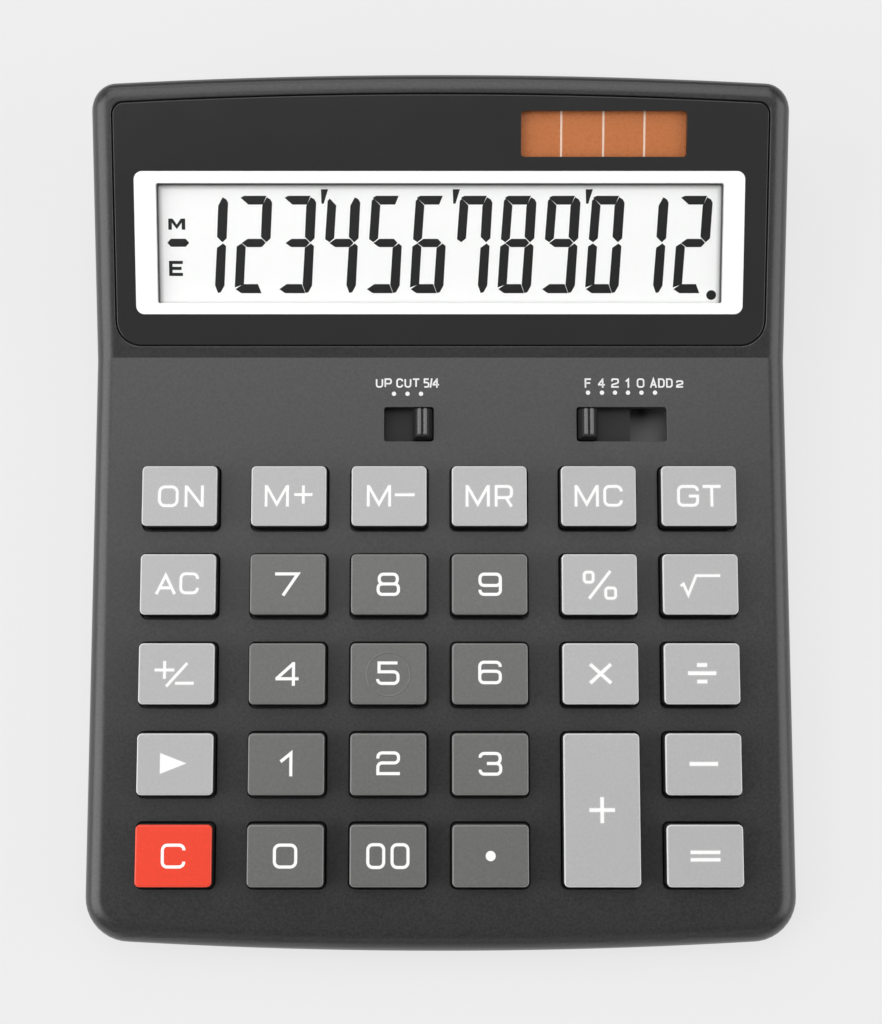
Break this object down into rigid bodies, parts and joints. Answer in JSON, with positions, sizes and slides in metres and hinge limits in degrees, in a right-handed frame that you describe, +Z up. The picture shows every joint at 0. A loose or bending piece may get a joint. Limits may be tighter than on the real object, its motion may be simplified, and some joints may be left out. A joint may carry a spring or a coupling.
{
  "type": "desktop calculator",
  "caption": "Large desk calculator with a tilted liquid crystal display, a solar cell with button-cell backup, sprung moulded keys and slide switches.",
  "frame": {"origin": "on the table below the middle of the casing", "axes": "+Y points to the display end, +X to the user's right, +Z up"},
  "size_m": [0.158, 0.195, 0.0321],
  "materials": {
    "case_black": "fine moulded texture, matte",
    "lens_black": "clear sheet printed black on its back, glossy",
    "key_light_grey": "smooth satin",
    "key_dark_grey": "smooth satin",
    "key_red": "smooth satin",
    "knob_black": "smooth satin",
    "lcd_grey": "reflective liquid crystal glass, smooth",
    "holder_white": "plain moulded",
    "solar_copper": "thin film cell behind glass, smooth",
    "silicone_grey": "soft, matte",
    "board_grey": "dark solder mask over resin board",
    "epoxy_black": "poured resin",
    "steel": "plated",
    "spring_metal": "sprung strip",
    "rubber_black": "soft, matte",
    "ribbon_amber": "thin film",
    "wire_red": "insulated wire",
    "wire_black": "insulated wire"
  },
  "bodies": {
    "casing": {"battery_contact_negative": "spring_metal", "battery_contact_positive": "spring_metal", "battery_door": "case_black", "battery_door_screw": "steel", "button_cell": "steel", "case_screw_1": "steel", "case_screw_2": "steel", "case_screw_3": "steel", "case_screw_4": "steel", "case_screw_5": "steel", "case_screw_6": "steel", "circuit_board": "board_grey", "controller_blob": "epoxy_black", "display_lens": "lens_black", "foot_1": "rubber_black", "foot_2": "rubber_black", "foot_3": "rubber_black", "foot_4": "rubber_black", "lcd_holder": "holder_white", "lcd_panel": "lcd_grey", "lcd_ribbon": "ribbon_amber", "lower_case": "case_black", "rubber_keypad": "silicone_grey", "solar_cell": "solar_copper", "solar_lead_negative": "wire_black", "solar_lead_positive": "wire_red", "upper_case": "case_black"},
    "key_0": {"key_0": "key_dark_grey"},
    "key_00": {"key_00": "key_dark_grey"},
    "key_1": {"key_1": "key_dark_grey"},
    "key_2": {"key_2": "key_dark_grey"},
    "key_3": {"key_3": "key_dark_grey"},
    "key_4": {"key_4": "key_dark_grey"},
    "key_5": {"key_5": "key_dark_grey"},
    "key_6": {"key_6": "key_dark_grey"},
    "key_7": {"key_7": "key_dark_grey"},
    "key_8": {"key_8": "key_dark_grey"},
    "key_9": {"key_9": "key_dark_grey"},
    "key_ac": {"key_ac": "key_light_grey"},
    "key_back": {"key_back": "key_light_grey"},
    "key_c": {"key_c": "key_red"},
    "key_divide": {"key_divide": "key_light_grey"},
    "key_equals": {"key_equals": "key_light_grey"},
    "key_gt": {"key_gt": "key_light_grey"},
    "key_m_minus": {"key_m_minus": "key_light_grey"},
    "key_m_plus": {"key_m_plus": "key_light_grey"},
    "key_mc": {"key_mc": "key_light_grey"},
    "key_minus": {"key_minus": "key_light_grey"},
    "key_mr": {"key_mr": "key_light_grey"},
    "key_multiply": {"key_multiply": "key_light_grey"},
    "key_on": {"key_on": "key_light_grey"},
    "key_percent": {"key_percent": "key_light_grey"},
    "key_plus": {"key_plus": "key_light_grey"},
    "key_point": {"key_point": "key_dark_grey"},
    "key_root": {"key_root": "key_light_grey"},
    "key_sign": {"key_sign": "key_light_grey"},
    "switch_left": {"switch_knob_left": "knob_black", "switch_wiper_left": "spring_metal"},
    "switch_right": {"switch_knob_right": "knob_black", "switch_wiper_right": "spring_metal"}
  },
  "joints": [
    {"name": "key_0_press", "type": "slide", "parent": "casing", "child": "key_0", "axis": [0, 0.0349, -0.9994], "range_m": [0, 0.002], "stiffness_N_per_m": 300, "springref_m": -0.002, "deforming": ["rubber_keypad"]},
    {"name": "key_00_press", "type": "slide", "parent": "casing", "child": "key_00", "axis": [0, 0.0349, -0.9994], "range_m": [0, 0.002], "stiffness_N_per_m": 300, "springref_m": -0.002, "deforming": ["rubber_keypad"]},
    {"name": "key_1_press", "type": "slide", "parent": "casing", "child": "key_1", "axis": [0, 0.0349, -0.9994], "range_m": [0, 0.002], "stiffness_N_per_m": 300, "springref_m": -0.002, "deforming": ["rubber_keypad"]},
    {"name": "key_2_press", "type": "slide", "parent": "casing", "child": "key_2", "axis": [0, 0.0349, -0.9994], "range_m": [0, 0.002], "stiffness_N_per_m": 300, "springref_m": -0.002, "deforming": ["rubber_keypad"]},
    {"name": "key_3_press", "type": "slide", "parent": "casing", "child": "key_3", "axis": [0, 0.0349, -0.9994], "range_m": [0, 0.002], "stiffness_N_per_m": 300, "springref_m": -0.002, "deforming": ["rubber_keypad"]},
    {"name": "key_4_press", "type": "slide", "parent": "casing", "child": "key_4", "axis": [0, 0.0349, -0.9994], "range_m": [0, 0.002], "stiffness_N_per_m": 300, "springref_m": -0.002, "deforming": ["rubber_keypad"]},
    {"name": "key_5_press", "type": "slide", "parent": "casing", "child": "key_5", "axis": [0, 0.0349, -0.9994], "range_m": [0, 0.002], "stiffness_N_per_m": 300, "springref_m": -0.002, "deforming": ["rubber_keypad"]},
    {"name": "key_6_press", "type": "slide", "parent": "casing", "child": "key_6", "axis": [0, 0.0349, -0.9994], "range_m": [0, 0.002], "stiffness_N_per_m": 300, "springref_m": -0.002, "deforming": ["rubber_keypad"]},
    {"name": "key_7_press", "type": "slide", "parent": "casing", "child": "key_7", "axis": [0, 0.0349, -0.9994], "range_m": [0, 0.002], "stiffness_N_per_m": 300, "springref_m": -0.002, "deforming": ["rubber_keypad"]},
    {"name": "key_8_press", "type": "slide", "parent": "casing", "child": "key_8", "axis": [0, 0.0349, -0.9994], "range_m": [0, 0.002], "stiffness_N_per_m": 300, "springref_m": -0.002, "deforming": ["rubber_keypad"]},
    {"name": "key_9_press", "type": "slide", "parent": "casing", "child": "key_9", "axis": [0, 0.0349, -0.9994], "range_m": [0, 0.002], "stiffness_N_per_m": 300, "springref_m": -0.002, "deforming": ["rubber_keypad"]},
    {"name": "key_ac_press", "type": "slide", "parent": "casing", "child": "key_ac", "axis": [0, 0.0349, -0.9994], "range_m": [0, 0.002], "stiffness_N_per_m": 300, "springref_m": -0.002, "deforming": ["rubber_keypad"]},
    {"name": "key_back_press", "type": "slide", "parent": "casing", "child": "key_back", "axis": [0, 0.0349, -0.9994], "range_m": [0, 0.002], "stiffness_N_per_m": 300, "springref_m": -0.002, "deforming": ["rubber_keypad"]},
    {"name": "key_c_press", "type": "slide", "parent": "casing", "child": "key_c", "axis": [0, 0.0349, -0.9994], "range_m": [0, 0.002], "stiffness_N_per_m": 300, "springref_m": -0.002, "deforming": ["rubber_keypad"]},
    {"name": "key_divide_press", "type": "slide", "parent": "casing", "child": "key_divide", "axis": [0, 0.0349, -0.9994], "range_m": [0, 0.002], "stiffness_N_per_m": 300, "springref_m": -0.002, "deforming": ["rubber_keypad"]},
    {"name": "key_equals_press", "type": "slide", "parent": "casing", "child": "key_equals", "axis": [0, 0.0349, -0.9994], "range_m": [0, 0.002], "stiffness_N_per_m": 300, "springref_m": -0.002, "deforming": ["rubber_keypad"]},
    {"name": "key_gt_press", "type": "slide", "parent": "casing", "child": "key_gt", "axis": [0, 0.0349, -0.9994], "range_m": [0, 0.002], "stiffness_N_per_m": 300, "springref_m": -0.002, "deforming": ["rubber_keypad"]},
    {"name": "key_m_minus_press", "type": "slide", "parent": "casing", "child": "key_m_minus", "axis": [0, 0.0349, -0.9994], "range_m": [0, 0.002], "stiffness_N_per_m": 300, "springref_m": -0.002, "deforming": ["rubber_keypad"]},
    {"name": "key_m_plus_press", "type": "slide", "parent": "casing", "child": "key_m_plus", "axis": [0, 0.0349, -0.9994], "range_m": [0, 0.002], "stiffness_N_per_m": 300, "springref_m": -0.002, "deforming": ["rubber_keypad"]},
    {"name": "key_mc_press", "type": "slide", "parent": "casing", "child": "key_mc", "axis": [0, 0.0349, -0.9994], "range_m": [0, 0.002], "stiffness_N_per_m": 300, "springref_m": -0.002, "deforming": ["rubber_keypad"]},
    {"name": "key_minus_press", "type": "slide", "parent": "casing", "child": "key_minus", "axis": [0, 0.0349, -0.9994], "range_m": [0, 0.002], "stiffness_N_per_m": 300, "springref_m": -0.002, "deforming": ["rubber_keypad"]},
    {"name": "key_mr_press", "type": "slide", "parent": "casing", "child": "key_mr", "axis": [0, 0.0349, -0.9994], "range_m": [0, 0.002], "stiffness_N_per_m": 300, "springref_m": -0.002, "deforming": ["rubber_keypad"]},
    {"name": "key_multiply_press", "type": "slide", "parent": "casing", "child": "key_multiply", "axis": [0, 0.0349, -0.9994], "range_m": [0, 0.002], "stiffness_N_per_m": 300, "springref_m": -0.002, "deforming": ["rubber_keypad"]},
    {"name": "key_on_press", "type": "slide", "parent": "casing", "child": "key_on", "axis": [0, 0.0349, -0.9994], "range_m": [0, 0.002], "stiffness_N_per_m": 300, "springref_m": -0.002, "deforming": ["rubber_keypad"]},
    {"name": "key_percent_press", "type": "slide", "parent": "casing", "child": "key_percent", "axis": [0, 0.0349, -0.9994], "range_m": [0, 0.002], "stiffness_N_per_m": 300, "springref_m": -0.002, "deforming": ["rubber_keypad"]},
    {"name": "key_plus_press", "type": "slide", "parent": "casing", "child": "key_plus", "axis": [0, 0.0349, -0.9994], "range_m": [0, 0.002], "stiffness_N_per_m": 300, "springref_m": -0.002, "deforming": ["rubber_keypad"]},
    {"name": "key_point_press", "type": "slide", "parent": "casing", "child": "key_point", "axis": [0, 0.0349, -0.9994], "range_m": [0, 0.002], "stiffness_N_per_m": 300, "springref_m": -0.002, "deforming": ["rubber_keypad"]},
    {"name": "key_root_press", "type": "slide", "parent": "casing", "child": "key_root", "axis": [0, 0.0349, -0.9994], "range_m": [0, 0.002], "stiffness_N_per_m": 300, "springref_m": -0.002, "deforming": ["rubber_keypad"]},
    {"name": "key_sign_press", "type": "slide", "parent": "casing", "child": "key_sign", "axis": [0, 0.0349, -0.9994], "range_m": [0, 0.002], "stiffness_N_per_m": 300, "springref_m": -0.002, "deforming": ["rubber_keypad"]},
    {"name": "switch_left_slide", "type": "slide", "parent": "casing", "child": "switch_left", "axis": [-1, 0, 0], "range_m": [0, 0.00612]},
    {"name": "switch_right_slide", "type": "slide", "parent": "casing", "child": "switch_right", "axis": [1, 0, 0], "range_m": [0, 0.0153]}
  ]
}
